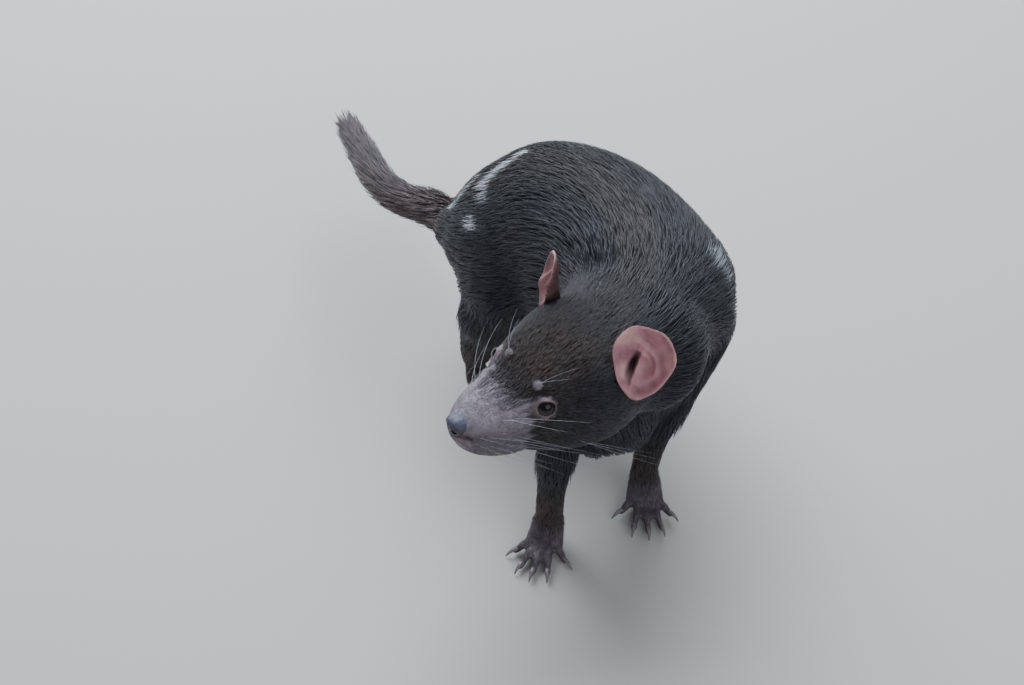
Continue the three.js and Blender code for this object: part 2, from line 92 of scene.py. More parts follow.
# Toes: distance of the roots from the ankle, fan in degrees, reach of the claw's root
TOES = {
    "front": (9, (-50, -19, 0, 18, 42), (27, 35, 37, 36, 30)),
    "hind": (29, (-19, -6, 7, 20), (51, 56, 55, 50)),
}
TOE_ROOTS_WIDTH = 22
# Share of the reach, height of the middle, half width, reach up and down
TOE = [
    (0.0, 9.5, 4.4, 4.2, 5), (0.2, 11, 4.0, 4.6, 6), (0.4, 9.4, 3.2, 3.2, 6), (0.6, 8.9, 3.8, 4.3, 6.5),
    (0.8, 6.4, 3.0, 2.9, 5.5), (0.96, 5.6, 3.6, 3.2, 5), (1.08, 4.8, 2.8, 2.2, 3.6),
    (1.16, 4.4, 1.3, 1.0, 1.6),
]
FLESH = ["torso_front", "torso_rear", "neck", "head", "lower_jaw"]
FLESH += [f"{leg}_{part}" for leg in LEGS for part in ("upper_leg", "lower_leg")]
UNDER_SKIN = FLESH + ["tail"] + [f"{leg}_foot" for leg in LEGS]
TAIL_LINE = [(-42, 18, 143), (-57, 23, 143), (-76, 32, 141), (-98, 52, 135)]
TAIL_LINE += [(-115, 84, 126), (-129, 120, 115), (-139, 149, 106), (-143, 161, 102)]
TAIL_RADII = [12, 12, 9.5, 7, 5.5, 4.2, 3, 1.5]

# Routes that the hair follows, from the nose to the tail and down each leg
STREAMS = {
    "back": [
        (-48, -250, 200), (-18, -232, 222), (14, -208, 236), (48, -181, 242), (76, -152, 238),
        (94, -110, 238), (84, -66, 240), (58, -32, 240), (24, -11, 232), (-12, 0, 206),
        (-40, 10, 178), (-62, 24, 152),
    ],
    "left_cheek": [
        (-40, -256, 185), (0, -256, 190), (45, -245, 188), (80, -222, 188), (118, -182, 195),
        (150, -140, 195), (168, -92, 185), (148, -24, 170), (105, 20, 165), (52, 50, 155),
        (2, 52, 150), (-30, 44, 145), (-55, 30, 145),
    ],
    "left_flank": [(150, -90, 120), (130, -15, 105), (90, 25, 100), (48, 60, 112), (0, 50, 120)],
    "right_cheek": [
        (-44, -240, 190), (-12, -205, 190), (8, -180, 185), (20, -150, 180), (20, -120, 175),
        (12, -98, 165), (-5, -72, 155), (-28, -50, 150), (-45, -25, 148), (-58, 2, 146),
    ],
    "belly": [
        (-30, -245, 165), (10, -225, 148), (45, -208, 128), (70, -190, 90), (80, -150, 68),
        (75, -90, 76), (50, -40, 82), (10, -12, 85), (-25, 5, 95), (-50, 15, 125),
    ],
    "front_left": [
        (155, -100, 150), (140, -117, 130), (126, -137, 102), (115, -150, 78), (108, -161, 52),
        (106, -165, 32), (108, -178, 14), (111, -205, 6),
    ],
    "front_right": [
        (50, -152, 150), (47, -160, 135), (37, -182, 104), (33, -194, 80), (30, -203, 54),
        (29, -207, 32), (25, -220, 14), (17, -246, 6),
    ],
    "hind_left": [
        (30, 45, 145), (44, 48, 126), (58, 46, 100), (54, 42, 74), (46, 38, 52), (44, 36, 34),
        (60, 28, 14), (95, 12, 6),
    ],
    "hind_right": [
        (-10, -38, 145), (-7, -47, 128), (-9, -49, 102), (-20, -49, 78), (-29, -49, 56),
        (-31, -50, 36), (-15, -62, 14), (12, -82, 6),
    ],
    "tail": TAIL_LINE[1:],
}
# How far away the nearest routes share the say over the lie of the hair
COMB_REACH = 30.0

# Pale marks of the coat, and on the edge of the shoulder two strokes of painted sheen: from, to, half
# width and share of the pale colour
MARKS_AND_SHEEN = [
    ((-48, -1, 173), (-41, 5, 181), 4.4, 0.95),
    ((-41, 4, 182), (-30, 14, 190), 4.2, 0.9),
    ((8, 10, 221), (-9, 8, 210), 4.8, 1.0),
    ((-9, 8, 210), (-24, -3, 201), 5.2, 0.95),
    ((-24, -3, 201), (-22, -22, 201), 3.4, 0.6),
    ((-33, -35, 185), (-33, -31, 185), 5.0, 1.0),
    ((-36, -59, 77), (-36, -59, 80), 2.2, 0.3),
    # This line and the last one: painted sheen on the edge of the shoulder
    ((152, -86, 214), (166, -100, 198), 6.0, 0.28),
    ((89, -219, 184), (86, -214, 174), 5.0, 0.06),
    ((166, -100, 198), (171, -111, 182), 4.0, 0.18),
]
BROW = np.array([54.0, 18.5, 13.2])

# Colours, linear
COAT = {
    "body": (0.0145, 0.0138, 0.0165),
    "ridge": (0.036, 0.024, 0.019),
    "crown": (0.028, 0.0160, 0.0110),
    "cheek": (0.034, 0.027, 0.028),
    "muzzle": (0.262, 0.218, 0.245),
    # The lower side of the muzzle, darker than its top: painted shade
    "shaded_muzzle_side": (0.160, 0.130, 0.152),
    "nose_edge": (0.120, 0.115, 0.145),
    "lip": (0.050, 0.020, 0.021),
    "chin": (0.12, 0.095, 0.102),
    "leg": (0.016, 0.013, 0.013),
    "wrist": (0.070, 0.042, 0.034),
    "foot": (0.105, 0.082, 0.090),
    "tail": (0.072, 0.050, 0.046),
    "tail_root": (0.130, 0.094, 0.090),
    # Pale marks, and the painted sheen on the edge of the shoulder
    "white": (0.72, 0.73, 0.78),
}


def metres(points):
    return AIM + np.asarray(points, float) * MM


def millimetres(points):
    return (np.asarray(points, float) - AIM) / MM


def in_head(points):
    return (np.asarray(points, float) - HEAD_PLACE) @ HEAD_AXES.T


def from_head(points):
    return HEAD_PLACE + np.asarray(points, float) @ HEAD_AXES


def unit(vectors):
    return vectors / np.maximum(np.linalg.norm(vectors, axis=-1, keepdims=True), 1e-9)


def ramp(start, end, x):
    """0 at start and 1 at end, smooth between them."""
    t = np.clip((x - start) / (end - start), 0, 1)
    return t * t * (3 - 2 * t)


def bell(x, width):
    """1 at 0, falling off to both sides."""
    return np.exp(-((x / width) ** 2))


def away(points, place):
    """Distance of each point from one place."""
    return np.linalg.norm(points - place, axis=1)


def curve(points, count):
    """count points and directions on a smooth curve through points."""
    p = np.asarray(points, float)
    p = np.vstack([2 * p[0] - p[1], p, 2 * p[-1] - p[-2]])
    t = np.linspace(0, len(p) - 3 - 1e-9, count)
    k = t.astype(int)
    u = (t - k)[:, None]
    a, b, c, d = p[k], p[k + 1], p[k + 2], p[k + 3]
    place = 0.5 * (
        2 * b + (c - a) * u + (2 * a - 5 * b + 4 * c - d) * u**2 + (3 * b - a - 3 * c + d) * u**3
    )
    return place, unit(np.gradient(place, axis=0))


def gap_to(points, places):
    """Distance of each point from each place, points by places."""
    square = (points**2).sum(1)[:, None] + (places**2).sum(1)[None] - 2 * points @ places.T
    return np.sqrt(np.maximum(square, 0))


COMB = [curve(route, 3 * len(route)) for route in STREAMS.values()]
COMB_AT = np.vstack([place for place, _ in COMB])
COMB_WAY = np.vstack([way for _, way in COMB])
LEG_AT = np.vstack([curve(STREAMS[leg][1:], 24)[0] for leg in LEGS])
TAIL_AT, TAIL_WAY = curve(TAIL_LINE, 40)


def lie(points, normals):
    """The way in which hair lies at each point, along the skin."""
    weight = (0.1 + (gap_to(points, COMB_AT) / COMB_REACH) ** 2) ** -2
    way = unit(weight @ COMB_WAY)
    from_tail = gap_to(points, TAIL_AT)
    share = ramp(34, 20, from_tail.min(1)) * ramp(-46, -58, points[:, 0])
    way = unit(way + 6 * share[:, None] * TAIL_WAY[from_tail.argmin(1)])
    flank = (1 - normals[:, 2] ** 2) * ramp(60, 130, points[:, 2])
    way[:, 2] -= 0.35 * flank
    return unit(way - normals * (way * normals).sum(1)[:, None])


def zones(points):
    """Shares, 0 to 1, of each point in the regions of the coat."""
    h = in_head(points)
    z = points[:, 2]
    head = ramp(-50, -25, h[:, 0]) * ramp(-84, -68, h[:, 2]) * ramp(76, 62, np.abs(h[:, 1]))
    top = ramp(22, 13, np.abs(h[:, 1])) * ramp(-20, -10, h[:, 2])
    ragged = 1.6 * np.sin(0.45 * h[:, 2] + 1)
    ragged = ragged + 1.2 * np.sin(0.9 * h[:, 1] - 0.7 * h[:, 2]) + np.sin(2.1 * h[:, 2])
    muzzle = head * ramp(-5 - 8 * top, 4 + 10 * top, h[:, 0] - 61 - 13 * top + ragged)
    for mirror in MIRRORS.values():
        ring = away(h, (EYE_IN_HEAD + [0.6, 0, -0.6]) * mirror)
        muzzle = np.maximum(muzzle, head * 0.6 * ramp(11.2, 9.0, ring))
        muzzle = np.maximum(muzzle, head * 0.75 * ramp(5, 3.2, away(h, BROW * mirror)))
    leg = ramp(40, 30, gap_to(points, LEG_AT).min(1)) * ramp(108, 84, z)
    tail = ramp(34, 24, gap_to(points, TAIL_AT).min(1)) * ramp(-48, -60, points[:, 0])
    hind = ramp(-125, -110, points[:, 1])
    foot = ramp(38 - 12 * hind, 24 - 12 * hind, z)
    return {"head": head, "muzzle": muzzle, "leg": leg, "foot": foot, "tail": tail, "h": h}


def blend(zone, **values):
    """A value for each point: the body's, overlaid by that of each zone in turn."""
    out = np.full(len(zone["head"]), float(values["body"]))
    for name in ("head", "muzzle", "leg", "foot", "tail"):
        out += zone[name] * (values[name] - out)
    return out


def coat_depth(zone):
    return blend(zone, body=6.5, head=3.2, muzzle=0.7, leg=3.0, foot=0.6, tail=0.0)


# Skin

def mesh_from(places, faces):
    """A mesh in the row frame from points in millimetres."""
    mesh = bpy.data.meshes.new("mesh")
    mesh.from_pydata(metres(places).tolist(), [], [list(map(int, face)) for face in faces])
    mesh.update()
    return mesh


def poured(bm, mesh=None):
    """The mesh, or a new one, filled from bm, which is freed."""
    if mesh is None:
        mesh = bpy.data.meshes.new("mesh")
    bm.to_mesh(mesh)
    bm.free()
    return mesh


def smoothed(mesh):
    """The mesh with smooth shading."""
    mesh.polygons.foreach_set("use_smooth", np.ones(len(mesh.polygons), bool))
    return mesh


def turned_out(mesh, merge=0.0):
    """The mesh with its faces turned out, its points joined where they are within merge metres."""
    bm = bmesh.new()
    bm.from_mesh(mesh)
    if merge:
        bmesh.ops.remove_doubles(bm, verts=bm.verts, dist=merge)
    bmesh.ops.recalc_face_normals(bm, faces=bm.faces)
    return poured(bm, mesh)


def shown(name, mesh, look, replaced=()):
    """Puts a mesh in the scene as a piece of the animal, with one of the MATERIALS."""
    mesh.name = name
    mesh.materials.append(MATERIALS[look])
    piece = bpy.data.objects.new(name, mesh)
    bpy.context.scene.collection.objects.link(piece)
    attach(piece, "root")
    if replaced:
        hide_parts(*replaced)
    return piece


def ring_faces(rows, sides, start=0, closed=False):
    """Quads between rings of points in a row, and from the last to the first if closed."""
    faces = []
    for k in range(rows if closed else rows - 1):
        a, b = start + k * sides, start + (k + 1) % rows * sides
        for i in range(sides):
            j = (i + 1) % sides
            faces.append((a + i, a + j, b + j, b + i))
    return faces


def tube_faces(rows, sides):
    """Faces of rings joined in a row, with the last two points as the ends."""
    first, last, end = rows * sides, rows * sides + 1, (rows - 1) * sides
    faces = ring_faces(rows, sides)
    for i in range(sides):
        j = (i + 1) % sides
        faces += [(first, j, i), (last, end + i, end + j)]
    return faces


def tube(line, radii, sides):
    """Points and faces of a closed tapering tube along a line of points."""
    line = np.asarray(line, float)
    way = unit(np.gradient(line, axis=0))
    side = unit(np.cross(way, [0.0, 0.0, 1.0]) + 1e-6)
    over = np.cross(side, way)
    turn = 2 * np.pi * np.arange(sides) / sides
    rings = [
        c + r * (np.outer(np.cos(turn), s) + np.outer(np.sin(turn), o))
        for c, r, s, o in zip(line, radii, side, over)
    ]
    ends = [line[:1] - way[0] * radii[0] * 0.3, line[-1:] + way[-1] * radii[-1] * 0.5]
    return np.vstack([*rings, *ends]), tube_faces(len(line), sides)


def loft(stations, left, sides=28, rows=28):
    """Points and faces of a closed tube through oval stations.

    A station has its middle, half width, and reach up and down.
    """
    middle, way = curve([m for m, *_ in stations], rows)
    at = np.linspace(0, len(stations) - 1, rows)
    half, rise, drop = (
        np.interp(at, range(len(stations)), [s[k] for s in stations]) for k in (1, 2, 3)
    )
    turn = 2 * np.pi * np.arange(sides) / sides
    rings = []
    for m, w, a, up, down in zip(middle, way, half, rise, drop):
        side = unit(np.asarray(left, float) - w * (w @ left))
        over = np.cross(w, side)
        tall = np.where(np.sin(turn) > 0, up, down) * np.sin(turn)
        rings.append(m + np.outer(np.cos(turn) * a, side) + np.outer(tall, over))
    ends = [rings[0].mean(0) - way[0] * half[0] * 0.2, rings[-1].mean(0) + way[-1] * half[-1] * 0.4]
    return np.vstack([*rings, *ends]), tube_faces(rows, sides)


def foot_shells(leg):
    """Palm and toes of a foot as closed shells, in millimetres."""
    (x, y), heading, kind, inner = FEET[leg]
    root, fan, reach = TOES[kind]
    shells = [loft(PALMS[kind], (0, 1, 0))]
    for index, (degrees, far) in enumerate(zip(fan, reach)):
        angle = math.radians(-degrees * inner)
        start = np.array([root, (0.5 - (index + 0.5) / len(fan)) * inner * TOE_ROOTS_WIDTH, 0.0])
        along = np.array([math.cos(angle), math.sin(angle), 0.0]) * far - start
        left = unit(np.cross([0, 0, 1.0], along))
        stations = [(start + along * share + [0, 0, height], *sizes) for share, height, *sizes in TOE]
        shells.append(loft(stations, left, 16, 30))
    c, s = math.cos(math.radians(heading)), math.sin(math.radians(heading))
    spin = np.array([[c, s, 0], [-s, c, 0], [0, 0, 1]])
    return [(points @ spin + [x, y, 0], faces) for points, faces in shells]


def welded(nodes, swell=0.0):
    """A bmesh of some CAD nodes, their vertices merged, and moved out by swell metres."""
    bm = bmesh.new()
    for name in nodes:
        bm.from_mesh(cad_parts[name].data)
    bmesh.ops.remove_doubles(bm, verts=bm.verts, dist=2e-6)
    bm.normal_update()
    for v in bm.verts:
        v.co += v.normal * swell
    return bm


def modified(mesh, kind, shares=None, **settings):
    """The mesh after one modifier, which may go by shares of its points, the group hidden."""
    holder = bpy.data.objects.new("holder", mesh)
    bpy.context.scene.collection.objects.link(holder)
    if shares is not None:
        group = holder.vertex_groups.new(name="hidden")
        for step in range(11):
            picked = np.nonzero(np.round(shares * 10) == step)[0]
            group.add(picked.tolist(), step / 10, "REPLACE")
    modifier = holder.modifiers.new(kind, kind)
    for key, value in settings.items():
        setattr(modifier, key, value)
    graph = bpy.context.evaluated_depsgraph_get()
    made = bpy.data.meshes.new_from_object(holder.evaluated_get(graph))
    bpy.data.objects.remove(holder)
    return made


def remeshed(mesh, size):
    """A mesh of even quads over a mesh of closed shells, which are fused."""
    return modified(mesh, "REMESH", mode="VOXEL", voxel_size=size)


def largest_part(bm):
    """Keeps the largest connected surface."""
    left = set(bm.verts)
    best = set()
    while left:
        stack = [next(iter(left))]
        part = {stack[0]}
        while stack:
            for edge in stack.pop().link_edges:
                for v in edge.verts:
                    if v not in part:
                        part.add(v)
                        stack.append(v)
        left -= part
        best = part if len(part) > len(best) else best
    bmesh.ops.delete(bm, geom=[v for v in bm.verts if v not in best], context="VERTS")


def rows_of(items, key, width, kind=float):
    """One property of all items of a mesh, as rows of an array."""
    values = np.empty(len(items) * width, kind)
    items.foreach_get(key, values)
    return values.reshape(-1, width)


class Surface:
    """The points of a mesh in millimetres, with what is needed to smooth and move them."""

    def __init__(self, mesh):
        self.mesh = mesh
        self.at = millimetres(rows_of(mesh.vertices, "co", 3))
        self.edges = rows_of(mesh.edges, "vertices", 2, int)
        mesh.calc_loop_triangles()
        self.triangles = rows_of(mesh.loop_triangles, "vertices", 3, int)

    def relax(self, strength, rounds):
        a, b = self.edges.T
        count = len(self.at)
        degree = np.maximum(np.bincount(self.edges.ravel(), minlength=count), 1)[:, None]
        for _ in range(rounds):
            sums = [
                np.bincount(a, self.at[b, k], count) + np.bincount(b, self.at[a, k], count)
                for k in range(3)
            ]
            self.at = self.at + strength[:, None] * (np.stack(sums, 1) / degree - self.at)

    def normals(self):
        p, q, r = (self.at[self.triangles[:, k]] for k in range(3))
        face = np.cross(q - p, r - p)
        sums = np.zeros_like(self.at)
        for k in range(3):
            for axis in range(3):
                sums[:, axis] += np.bincount(self.triangles[:, k], face[:, axis], len(self.at))
        return unit(sums)

    def store(self):
        self.mesh.vertices.foreach_set("co", metres(self.at).ravel())
        self.mesh.update()


SKIN_CELL = 0.0013
# The cuts between the nodes are this wide in metres at most, and the shells swell over them
CUT = 0.0003
# Height of the soles over the floor, in millimetres
SOLE = 0.35


def flesh_skin():
    """One even skin over all flesh, smoothed across the cuts and drawn in by the depth of the coat."""
    bm = welded(FLESH + ["nose", "eye_left", "eye_right"], CUT)
    line = curve(TAIL_LINE, 24)[0]
    radii = np.interp(np.linspace(0, 1, 24), np.linspace(0, 1, len(TAIL_RADII)), TAIL_RADII)
    shells = [tube(line, radii, 16)]
    for leg in LEGS:
        shells += foot_shells(leg)
    for points, faces in shells:
        verts = [bm.verts.new(p) for p in metres(points)]
        made = [bm.faces.new([verts[i] for i in face]) for face in faces]
        bmesh.ops.recalc_face_normals(bm, faces=made)
    mesh = remeshed(poured(bm), SKIN_CELL)
    bm = bmesh.new()
    bm.from_mesh(mesh)
    largest_part(bm)
    skin = Surface(poured(bm, mesh))
    zone = zones(skin.at)
    skin.relax(blend(zone, body=0.6, head=0.5, muzzle=0.25, leg=0.35, foot=0.2, tail=0.3), 22)
    skin.relax(blend(zone, body=0.6, head=0.2, muzzle=0.0, leg=0.1, foot=0.0, tail=0.0), 40)
    for _ in range(2):
        zone = zones(skin.at)
        skin.at -= skin.normals() * coat_depth(zone)[:, None] / 2
        skin.relax(blend(zone, body=0.5, head=0.4, muzzle=0.1, leg=0.3, foot=0.05, tail=0.2), 6)
    skin.at[:, 2] = np.maximum(skin.at[:, 2], SOLE)
    skin.store()
    return mesh


def thinned(mesh, ratio):
    """The mesh with fewer triangles where fur hides it. The head and the feet stay fine."""
    zone = zones(Surface(mesh).at)
    share = np.clip(1 - ramp(20, 34, zone["h"][:, 0]) * zone["head"] - zone["foot"], 0, 1)
    settings = dict(ratio=ratio, vertex_group="hidden", vertex_group_factor=1.0)
    return modified(mesh, "DECIMATE", share, **settings)


def refined(mesh):
    """The mesh with the front of the face and the rings of the eyes split once more."""
    bm = bmesh.new()
    bm.from_mesh(mesh)
    bm.verts.ensure_lookup_table()
    h = in_head(millimetres([v.co for v in bm.verts]))
    near_eye = np.zeros(len(h), bool)
    for mirror in MIRRORS.values():
        near_eye |= away(h, EYE_IN_HEAD * mirror) < 15
    fine = (near_eye | (h[:, 0] > 42)) & (h[:, 2] > -80) & (np.abs(h[:, 1]) < 60)
    edges = [e for e in bm.edges if fine[e.verts[0].index] and fine[e.verts[1].index]]
    bmesh.ops.subdivide_edges(bm, edges=edges, cuts=1, use_grid_fill=True, smooth=0.0)
    bmesh.ops.triangulate(bm, faces=[f for f in bm.faces if len(f.verts) > 4])
    return poured(bm, mesh)


def above_mouth(h):
    """Height of points of the head over the line of the mouth."""
    return h[:, 2] - np.interp(h[:, 0], MOUTH[:, 0], MOUTH[:, 1])


# The socket: half its opening in degrees, depth of its floor and reach of the carving
SOCKET_OPENING = 64
SOCKET_FLOOR = 5.4
SOCKET_REACH = 14


def carve_face(skin):
    """Lips, the groove under the nose, brows and eye sockets, in the fine skin of the face."""
    h = in_head(skin.at)
    face = ramp(-90, -70, h[:, 2]) * (np.abs(h[:, 1]) < 60)
    lift = np.zeros(len(h))
    above = above_mouth(h)
    along = ramp(44, 49, h[:, 0]) * face
    lift += along * (0.9 * bell(above - 2.4, 1.6) + 0.6 * bell(above + 2.0, 1.4))
    lift -= along * 1.7 * bell(above, 0.75)
    front = ramp(99, 103, h[:, 0]) * ramp(-42, -39, h[:, 2]) * ramp(-26, -30, h[:, 2])
    lift -= front * 0.9 * bell(h[:, 1], 0.8)
    for mirror in MIRRORS.values():
        lift += 1.5 * bell(away(h, BROW * mirror), 3.0)
    skin.at += skin.normals() * lift[:, None]
    for mirror in MIRRORS.values():
        out = in_head(skin.at) - EYE_IN_HEAD * mirror
        reach = np.linalg.norm(out, axis=1)
        cosine = (out @ (EYE_AIM * mirror)) / np.maximum(reach, 1e-6)
        inside = (cosine > math.cos(math.radians(SOCKET_OPENING))) & (reach < SOCKET_REACH)
        wanted = np.where(inside, SOCKET_FLOOR, np.maximum(reach, EYE_RADIUS + 0.1))
        change = np.where(reach < SOCKET_REACH, wanted / np.maximum(reach, 1e-6), 1)[:, None]
        skin.at = from_head(EYE_IN_HEAD * mirror + out * change)
    skin.store()


# Colours of coat and skin, alike for both

def mark_and_sheen_share(points, soft):
    """Share of the pale colour at each point, by its distance from the pale marks and from the strokes
    of painted sheen on the shoulder.
    """
    share = np.zeros(len(points))
    for start, end, half, white in MARKS_AND_SHEEN:
        a, b = np.array(start, float), np.array(end, float)
        t = np.clip(((points - a) @ (b - a)) / ((b - a) @ (b - a)), 0, 1)
        gap = np.linalg.norm(points - a - t[:, None] * (b - a), axis=1)
        share = np.maximum(share, white * ramp(half + soft, half - soft, gap))
    return share


# The dark skin of the lips in front, from under the nose to the left
FRONT_LIP = curve([(108, 0, -26.5), (106, 7, -25), (100, 14, -25)], 12)[0]
RIDGE = curve(STREAMS["back"][3:], 40)[0]


def coat_colour(points):
    """The colour of coat and skin at each point."""
    zone = zones(points)
    h, head, muzzle, leg, tail = (zone[key] for key in ("h", "head", "muzzle", "leg", "tail"))
    beside = np.abs(h[:, 1])
    colour = np.tile(COAT["body"], (len(points), 1))

    def over(name, share):
        nonlocal colour
        colour = colour + share[:, None] * (np.array(COAT[name]) - colour)

    over("ridge", 0.65 * ramp(30, 6, gap_to(points, RIDGE).min(1)))
    over("cheek", head)
    over("crown", head * ramp(-5, 18, h[:, 2]) * ramp(-22, 12, h[:, 0]) * ramp(44, 24, beside))
    over("leg", leg)
    over("wrist", 0.8 * leg * ramp(78, 50, points[:, 2]))
    over("muzzle", muzzle)
    # Painted shade: the lower side of the muzzle darker than its lit top
    over("shaded_muzzle_side", muzzle * ramp(-12, -24, h[:, 2]) * ramp(30, 52, h[:, 0]))
    over("nose_edge", 0.7 * muzzle * ramp(13, 6, away(h, [104, 0, -17])))
    over("chin", muzzle * ramp(-38, -48, h[:, 2]))
    over("lip", 0.75 * muzzle * ramp(2.6, 0.8, np.abs(above_mouth(h))) * ramp(50, 62, h[:, 0]))
    from_lip = gap_to(np.column_stack([h[:, 0], beside, h[:, 2]]), FRONT_LIP).min(1)
    over("lip", 0.9 * muzzle * ramp(5.2, 2.4, from_lip + 0.17 * beside))
    over("foot", zone["foot"])
    over("tail", tail)
    below = (TAIL_AT[gap_to(points, TAIL_AT).argmin(1)] - points) @ [0, 0.77, 0.64]
    over("tail_root", 0.8 * tail * ramp(-118, -88, points[:, 0]) * ramp(-5, 5, below))
    # Pale marks, and painted sheen on the edge of the shoulder
    over("white", mark_and_sheen_share(points, 1.5))
    return colour


# Materials

def material(name, colour, rough, build=None, **sockets):
    made = bpy.data.materials.new(name)
    made.use_nodes = True
    tree = made.node_tree
    shader = tree.nodes["Principled BSDF"]
    shader.inputs["Base Color"].default_value = (*colour, 1)
    shader.inputs["Roughness"].default_value = rough
    for socket, value in sockets.items():
        shader.inputs[socket.replace("_", " ")].default_value = value
    if build:
        build(tree, shader)
    return made


def add(tree, kind, **settings):
    node = tree.nodes.new(kind)
    for key, value in settings.items():
        if key in node.inputs:
            node.inputs[key].default_value = value
        else:
            setattr(node, key, value)
    return node


def noise(tree, scale, detail=3.0, stretch=None):
    """Noise in the object's own space."""
    out = add(tree, "ShaderNodeTexCoord").outputs["Object"]
    if stretch:
        mapping = add(tree, "ShaderNodeMapping", Scale=stretch)
        tree.links.new(out, mapping.inputs["Vector"])
        out = mapping.outputs["Vector"]
    made = add(tree, "ShaderNodeTexNoise", Scale=scale, Detail=detail)
    tree.links.new(out, made.inputs["Vector"])
    return made.outputs["Fac"]


def between(tree, value, low, high, start=0.3, end=0.7):
    """The value spread from low, where it is start, to high, where it is end."""
    made = add(tree, "ShaderNodeMapRange")
    for key, number in {"From Min": start, "From Max": end, "To Min": low, "To Max": high}.items():
        made.inputs[key].default_value = number
    tree.links.new(value, made.inputs["Value"])
    return made.outputs["Result"]


def tones(tree, value, *stops):
    """A ramp of colours by a value, from stops of value and colour."""
    made = add(tree, "ShaderNodeValToRGB")
    elements = made.color_ramp.elements
    for element, (place, colour) in zip(list(elements), (stops[0], stops[-1])):
        element.position, element.color = place, (*colour, 1)
    for place, colour in stops[1:-1]:
        elements.new(place).color = (*colour, 1)
    tree.links.new(value, made.inputs["Fac"])
    return made.outputs["Color"]


def painted(tree):
    """The colour that is painted on the points."""
    return add(tree, "ShaderNodeAttribute", attribute_name="Coat").outputs["Color"]


def feed(tree, shader, socket, value):
    tree.links.new(value, shader.inputs[socket])


def times(tree, colour, value):
    """The colour made lighter or darker by a value."""
    made = add(tree, "ShaderNodeVectorMath", operation="SCALE")
    tree.links.new(colour, made.inputs[0])
    tree.links.new(value, made.inputs["Scale"])
    return made.outputs["Vector"]


def bump(tree, shader, height, strength, distance):
    made = add(tree, "ShaderNodeBump", Strength=strength, Distance=distance)
    tree.links.new(height, made.inputs["Height"])
    feed(tree, shader, "Normal", made.outputs["Normal"])


def pebbled(tree, shader, scale, strength, distance):
    """A bump of small cells."""
    cells = add(tree, "ShaderNodeTexVoronoi", Scale=scale)
    tree.links.new(add(tree, "ShaderNodeTexCoord").outputs["Object"], cells.inputs["Vector"])
    bump(tree, shader, cells.outputs["Distance"], strength, distance)


def coat_nodes(tree, shader):
    strands = between(tree, noise(tree, 700.0, 2.0), 0.8, 1.25)
    patches = between(tree, noise(tree, 45.0), 0.75, 1.3)
    feed(tree, shader, "Base Color", times(tree, times(tree, painted(tree), strands), patches))
    feed(tree, shader, "Roughness", between(tree, noise(tree, 60.0), 0.40, 0.58))


def skin_nodes(tree, shader):
    blotches = between(tree, noise(tree, 160.0, 4.0), 0.7, 1.35)
    feed(tree, shader, "Base Color", times(tree, painted(tree), blotches))
    feed(tree, shader, "Roughness", between(tree, noise(tree, 220.0), 0.5, 0.75))
    pebbled(tree, shader, 900.0, 0.35, 0.0004)


EAR_TONES = [(0.32, (0.36, 0.155, 0.18)), (0.52, (0.56, 0.265, 0.285)), (0.70, (0.72, 0.41, 0.37))]


def ear_nodes(tree, shader):
    mixed = add(tree, "ShaderNodeVectorMath", operation="MULTIPLY")
    tree.links.new(tones(tree, noise(tree, 55.0, 5.0), *EAR_TONES), mixed.inputs[0])
    tree.links.new(painted(tree), mixed.inputs[1])
    feed(tree, shader, "Base Color", mixed.outputs["Vector"])
    bump(tree, shader, noise(tree, 420.0, 5.0), 0.3, 0.0005)


def nose_nodes(tree, shader):
    spots = between(tree, noise(tree, 260.0), 0.8, 1.2)
    feed(tree, shader, "Base Color", times(tree, painted(tree), spots))
    feed(tree, shader, "Roughness", between(tree, noise(tree, 300.0), 0.28, 0.5))
    pebbled(tree, shader, 1300.0, 0.5, 0.0003)


def two_tone(low, high, scale, detail=3.0, stretch=None):
    """Nodes for a colour that wanders from low to high."""
    def build(tree, shader):
        value = noise(tree, scale, detail, stretch)
        feed(tree, shader, "Base Color", tones(tree, value, (0, low), (1, high)))

    return build


MATERIALS = {
    "coat": material(
        "coat", COAT["body"], 0.45, coat_nodes, Specular_IOR_Level=0.46,
        Sheen_Weight=0.07, Sheen_Roughness=0.35, Sheen_Tint=(0.72, 0.84, 1.0, 1),
    ),
    "skin": material("skin", COAT["muzzle"], 0.6, skin_nodes, Specular_IOR_Level=0.4),
    "ear": material("ear", (0.5, 0.15, 0.13), 0.55, ear_nodes),
    "nose": material("nose", (0.035, 0.03, 0.036), 0.35, nose_nodes, Specular_IOR_Level=0.42),
    "claw": material(
        "claw", (0.3, 0.26, 0.22), 0.38,
        two_tone((0.11, 0.085, 0.085), (0.27, 0.235, 0.225), 260.0, 4.0, (1, 1, 3)),
    ),
    "eye": material(
        "eye", (0.004, 0.003, 0.004), 0.05,
        two_tone((0.003, 0.0025, 0.003), (0.010, 0.007, 0.006), 300.0), Specular_IOR_Level=0.35,
    ),
    "whisker": material(
        "whisker", (0.26, 0.25, 0.26), 0.4, two_tone((0.18, 0.18, 0.19), (0.60, 0.60, 0.64), 40.0),
    ),
}


def paint(mesh, colours):
    layer = mesh.attributes.new("Coat", "FLOAT_COLOR", "POINT")
    rgba = np.ones((len(mesh.vertices), 4), np.float32)
    rgba[:, :3] = colours
    layer.data.foreach_set("color", rgba.ravel())


# Tufts

